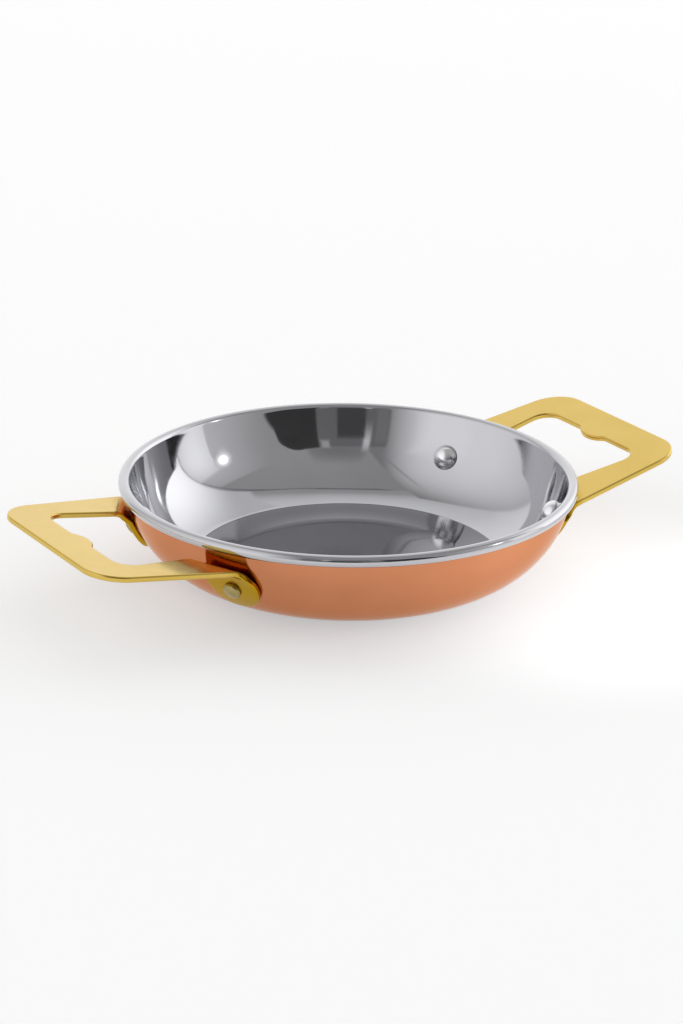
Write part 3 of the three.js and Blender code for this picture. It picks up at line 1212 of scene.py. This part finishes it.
@dataclass
class Studio:
    """The pale floor, the ring of cards and the ceiling's soft light."""

    front: float  # bearing of the camera, in radians
    distance: float = 4.0
    overlap: float = 0.004  # part of the distance by which each card stands in front of the one before
    room_radius: float = 120.0
    dome_steps: tuple[int, int] = (48, 24)
    floor_steps: int = 96
    mirror_bounces: int = 10  # the polished bowl mirrors itself this often along its rim
    ceiling: Pair = (0.30, 0.44)  # from its dim end to its bright end
    ceiling_bearing: float = 60.0  # where its bright end is, in degrees to the right of the camera
    floor_tone: float = 0.70
    floor_glow: Pair = (0.48, 0.72)  # near the pan, and far off where the cards give it no light
    floor_fade: Pair = (2.0, 9.0)  # distances between which it goes from one to the other
    floor_drop: float = 0.0002  # from the pan's underside down to it
    painted_pool_glow: float = 0.24  # painted light: glow added to the floor beside the pan, standing in for light from the right
    painted_pool_bearing: float = 72.0  # where that painted pool of light is, in degrees to the right of the camera
    painted_pool_distance: float = 0.088
    painted_pool_fade: Pair = (0.02, 0.105)  # distances from its middle between which it fades out
    cards: list[StudioCard] = field(default_factory=lambda: [
        StudioCard("back_scrim", 180, (-3.2, 3.2), (-1.0, 10.0), 0.90, 0.42, (0.0, 0.3), (3.6, 6.0)),
        StudioCard("back_edge", 180, (-3.2, 3.2), (10.0, 18.0), 0.21, 0.21, soft=0.3),
        StudioCard("back_glow", 180, (-1.5, 1.3), (-1.2, 1.2), 1.14, 0.88, (0.0, 0.2), (1.5, 1.2), soft=0.3),
        StudioCard(
            "left_scrim", -88, (-1.05, 5.0), (-3.2, 3.2), 1.06, 0.28, (0.35, 0.2), (2.4, 3.9), soft=0.06
        ),
        StudioCard(
            "left_glow", -56, (-0.42, 0.42), (-0.95, 0.95), 1.12, 1.05, (0.0, 0.3), (0.6, 0.9), soft=0.7
        ),
        StudioCard(
            "left_hem", -88, (-0.6, 5.0), (2.15, 2.35), 0.42, 0.26, (0.35, 2.2), (3.0, 1.0), soft=0.6
        ),
        StudioCard(
            "right_scrim", 75, (-1.0, 0.62), (-1.12, 1.12), 0.78, 0.42, (0.35, 0.2), (0.95, 1.5), soft=0.08
        ),
        StudioCard(
            "right_low", 95, (-0.2, 0.22), (-0.66, 0.66), 1.32, 0.70, (0.0, 0.2), (0.5, 0.75), soft=0.15
        ),
        StudioCard(
            "right_window", 132, (-0.48, 0.6), (-1.8, 1.8), 1.75, 0.70, (-0.12, 0.25), (1.2, 1.15), soft=0.08
        ),
        StudioCard("right_post", 107, (-0.05, 0.045), (0.5, 5.0), 0.20, 0.22, soft=0.5),
        StudioCard(
            "lamp_glow", 79.7, (-0.14, 0.14), (0.2, 0.7), 1.7, 0.7, (0.0, 0.45), (0.13, 0.24),
            CardOutline.ROUND, soft=0.5, tip=19.0,
        ),
        StudioCard(
            "lamp", 79.7, (-0.068, 0.068), (0.33, 0.57), 6.0, 1.8, (0.0, 0.45), (0.065, 0.115),
            CardOutline.ROUND, soft=0.4, tip=19.0,
        ),
        StudioCard(
            "front_shade", 0, (-0.26, 0.56), (0.30, 1.80), 0.25, 0.38, (0.12, 0.8), (0.9, 0.9), soft=0.3
        ),
        StudioCard("front_wall", 0, (-0.44, 0.46), (-0.74, 0.74), 0.18, 0.20, soft=0.12),
        StudioCard(
            "front_gleam", 0, (-0.24, -0.13), (0.25, 1.0), 0.72, 0.40, (-0.18, 0.55), (0.2, 0.4), soft=0.7
        ),
        StudioCard(
            "rear_gleam", 0, (0.19, 0.32), (0.46, 0.80), 0.46, 0.40, (0.25, 0.63), (0.1, 0.2), soft=0.6
        ),
        StudioCard("front_strip", 0, (-0.40, -0.26), (-0.66, 0.66), 0.22, 0.24, soft=0.3),
        StudioCard("front_flag", 0, (-0.17, 0.13), (-0.5, 0.5), 0.08, 0.08, soft=0.16),
        StudioCard(
            "round_flag", 30, (-0.21, 0.25), (-0.78, 0.76), 0.05, 0.06, (0.0, 0.3), (0.3, 0.5),
            CardOutline.ROUND, soft=0.08,
        ),
        StudioCard("square_flag", 30, (-0.215, 0.02), (-0.74, 0.74), 0.05, 0.06, soft=0.06),
        StudioCard(
            "wide_flag", 33, (-0.27, 0.29), (-0.45, 0.42), 0.05, 0.06, (0.0, 0.0), (0.4, 0.5),
            CardOutline.ROUND, soft=0.15,
        ),
    ])

    def towards(self, bearing: float) -> Vector:
        """The level direction at a bearing, in degrees to the right of the camera."""
        angle = self.front + math.radians(bearing)
        return Vector((math.sin(angle), -math.cos(angle), 0.0))

    def floor_material(self) -> bpy.types.Material:
        """A pale floor that looks white and keeps the pan's shadow, with a painted pool of light beside the
        pan.

        Returns:
            The material.
        """
        sheet = NodeSheet("pale_floor")
        ray = sheet.add("LightPath", {}).outputs
        seen = sheet.maths("MAXIMUM", ray["Is Camera Ray"], ray["Is Glossy Ray"])
        shown = sheet.maths("MAXIMUM", seen, ray["Is Transmission Ray"])
        first = sheet.maths("LESS_THAN", ray["Diffuse Depth"], 1.0)
        place = sheet.place()
        level = sheet.eased(sheet.radius(place), self.floor_fade, self.floor_glow)
        # painted light: a pool of glow on the floor beside the pan, to the camera's right
        middle = self.towards(self.painted_pool_bearing) * self.painted_pool_distance
        away = sheet.add("VectorMath", {0: place, 1: middle}, operation="DISTANCE").outputs["Value"]
        pool = sheet.eased(away, self.painted_pool_fade, (self.painted_pool_glow, 0.0))
        white = sheet.maths("MULTIPLY", first, sheet.maths("ADD", level, pool))
        glow = sheet.add("Emission", {"Strength": sheet.maths("MULTIPLY", shown, white)}).outputs[0]
        matt = sheet.add("BsdfDiffuse", {"Color": (*[self.floor_tone] * 3, 1.0)}).outputs[0]
        both = sheet.add("AddShader", {0: glow, 1: matt}).outputs[0]
        sheet.add("OutputMaterial", {"Surface": both})
        return sheet.material

    def ceiling_material(self) -> bpy.types.Material:
        """The ceiling's soft glow, brighter to one side.

        Returns:
            The material.
        """
        sheet = NodeSheet("ceiling_glow")
        bright_end = self.towards(self.ceiling_bearing) / self.room_radius
        along = sheet.add("VectorMath", {0: sheet.place(), 1: bright_end}, operation="DOT_PRODUCT")
        strength = sheet.ranged(along.outputs["Value"], (-1.0, 1.0), self.ceiling)
        glow = sheet.add("Emission", {"Strength": strength})
        sheet.add("OutputMaterial", {"Surface": glow.outputs[0]})
        return sheet.material

    def build(self) -> None:
        """Sets up the floor, the ceiling, the cards and the white world."""
        ground = bmesh.new()
        bmesh.ops.create_circle(ground, cap_ends=True, segments=self.floor_steps, radius=self.room_radius)
        bmesh.ops.translate(ground, verts=ground.verts, vec=(0.0, 0.0, -self.floor_drop))
        floor = placed("floor", ground, self.floor_material())
        dome = bmesh.new()
        around, upwards = self.dome_steps
        bmesh.ops.create_uvsphere(dome, u_segments=around, v_segments=upwards, radius=self.room_radius)
        ceiling = placed("ceiling", dome, self.ceiling_material())
        ceiling.visible_camera = False
        cards = [
            card.build(self.front, self.distance * (1.0 - self.overlap * order))
            for order, card in enumerate(self.cards)
        ]
        world = bpy.data.worlds.new("white_room")
        world.use_nodes = True
        world.node_tree.nodes["Background"].inputs["Color"].default_value = (1.0, 1.0, 1.0, 1.0)
        scene = bpy.context.scene
        scene.world = world
        scene.view_settings.view_transform = "Standard"
        scene.cycles.glossy_bounces = self.mirror_bounces
        LOG.info("studio: floor, ceiling and %d cards", len(cards))


@dataclass
class PhotoCamera:
    """The camera at the photograph's angle."""

    target: Vector = field(default_factory=lambda: Vector((0.0, 0.0, 0.0307)))  # middle of the rim
    distance: float = 1.0531
    elevation: float = math.radians(19.93)
    bearing: float = math.radians(-32.26)
    roll: float = math.radians(0.76)
    lens: float = 106.37  # millimetres on a 36 mm sensor
    sensor: float = 36.0
    image_width: float = 683.0
    image_height: float = 1024.0
    target_pixel: Pair = (348.07, 479.49)  # where the target lies in the picture
    clip: Pair = (0.01, 400.0)

    def build(self) -> bpy.types.Object:
        """Makes the camera and gives it to the scene.

        Returns:
            The camera.
        """
        data = bpy.data.cameras.new("camera")
        data.lens = self.lens
        data.sensor_width = self.sensor
        data.clip_start, data.clip_end = self.clip
        level = math.cos(self.elevation)
        back = Vector((
            math.sin(self.bearing) * level, -math.cos(self.bearing) * level, math.sin(self.elevation)
        ))
        right = Vector((math.cos(self.bearing), math.sin(self.bearing), 0.0))
        looking = Matrix((right, back.cross(right), back)).transposed().to_4x4()
        focal = self.lens / self.sensor * self.image_height
        yaw = math.atan((self.target_pixel[0] - self.image_width / 2) / focal)
        pitch = math.atan((self.target_pixel[1] - self.image_height / 2) / focal * math.cos(yaw))
        turned = Matrix.Rotation(yaw, 4, "Y") @ Matrix.Rotation(pitch, 4, "X")
        aim = turned @ Matrix.Rotation(self.roll, 4, "Z")
        camera = bpy.data.objects.new("camera", data)
        camera.matrix_world = Matrix.Translation(self.target + back * self.distance) @ looking @ aim
        bpy.context.scene.collection.objects.link(camera)
        bpy.context.scene.camera = camera
        return camera


@dataclass
class HandleSet:
    """A handle with its two rivets, on one side of the pan."""

    handle: PlateHandle
    rivet: Rivet
    node: str
    rivet_nodes: tuple[str, str]  # at +Y and at -Y, before the turn
    turn: float  # about the pan's axis, in radians

    def build(self, brass: bpy.types.Material, steel: bpy.types.Material) -> None:
        """Makes the handle and its rivets.

        Args:
            brass: Material of the plate.
            steel: Material of the rivets.
        """
        turn = Matrix.Rotation(self.turn, 4, "Z")
        self.handle.build(self.node, turn, brass)
        for node, side in zip(self.rivet_nodes, (1, -1)):
            self.rivet.build(node, self.handle.seat(side), turn, steel)


def main() -> None:
    """Builds the studio, the camera and the pan."""
    logging.basicConfig(level=logging.INFO, format="%(message)s")
    camera = PhotoCamera()
    camera.build()
    Studio(front=camera.bearing).build()
    section = PanSection()
    lining = LiningSection()
    SteelLining(lining).build()
    CopperShell(section).build()
    brass = RolledBrass().material()
    steel = PeenedSteel().material()
    right = PlateHandle(section, tilt=math.radians(11.3), reach=0.0388)
    left = PlateHandle(section, tilt=math.radians(7.0), reach=0.0377)
    rivet = Rivet(lining, plate=right.sheet)
    sides = (
        HandleSet(right, rivet, "right_handle", ("rivet_right_rear", "rivet_right_front"), turn=0.0),
        HandleSet(left, rivet, "left_handle", ("rivet_left_front", "rivet_left_rear"), turn=math.pi),
    )
    for side in sides:
        side.build(brass, steel)


if __name__ == "__main__":
    main()
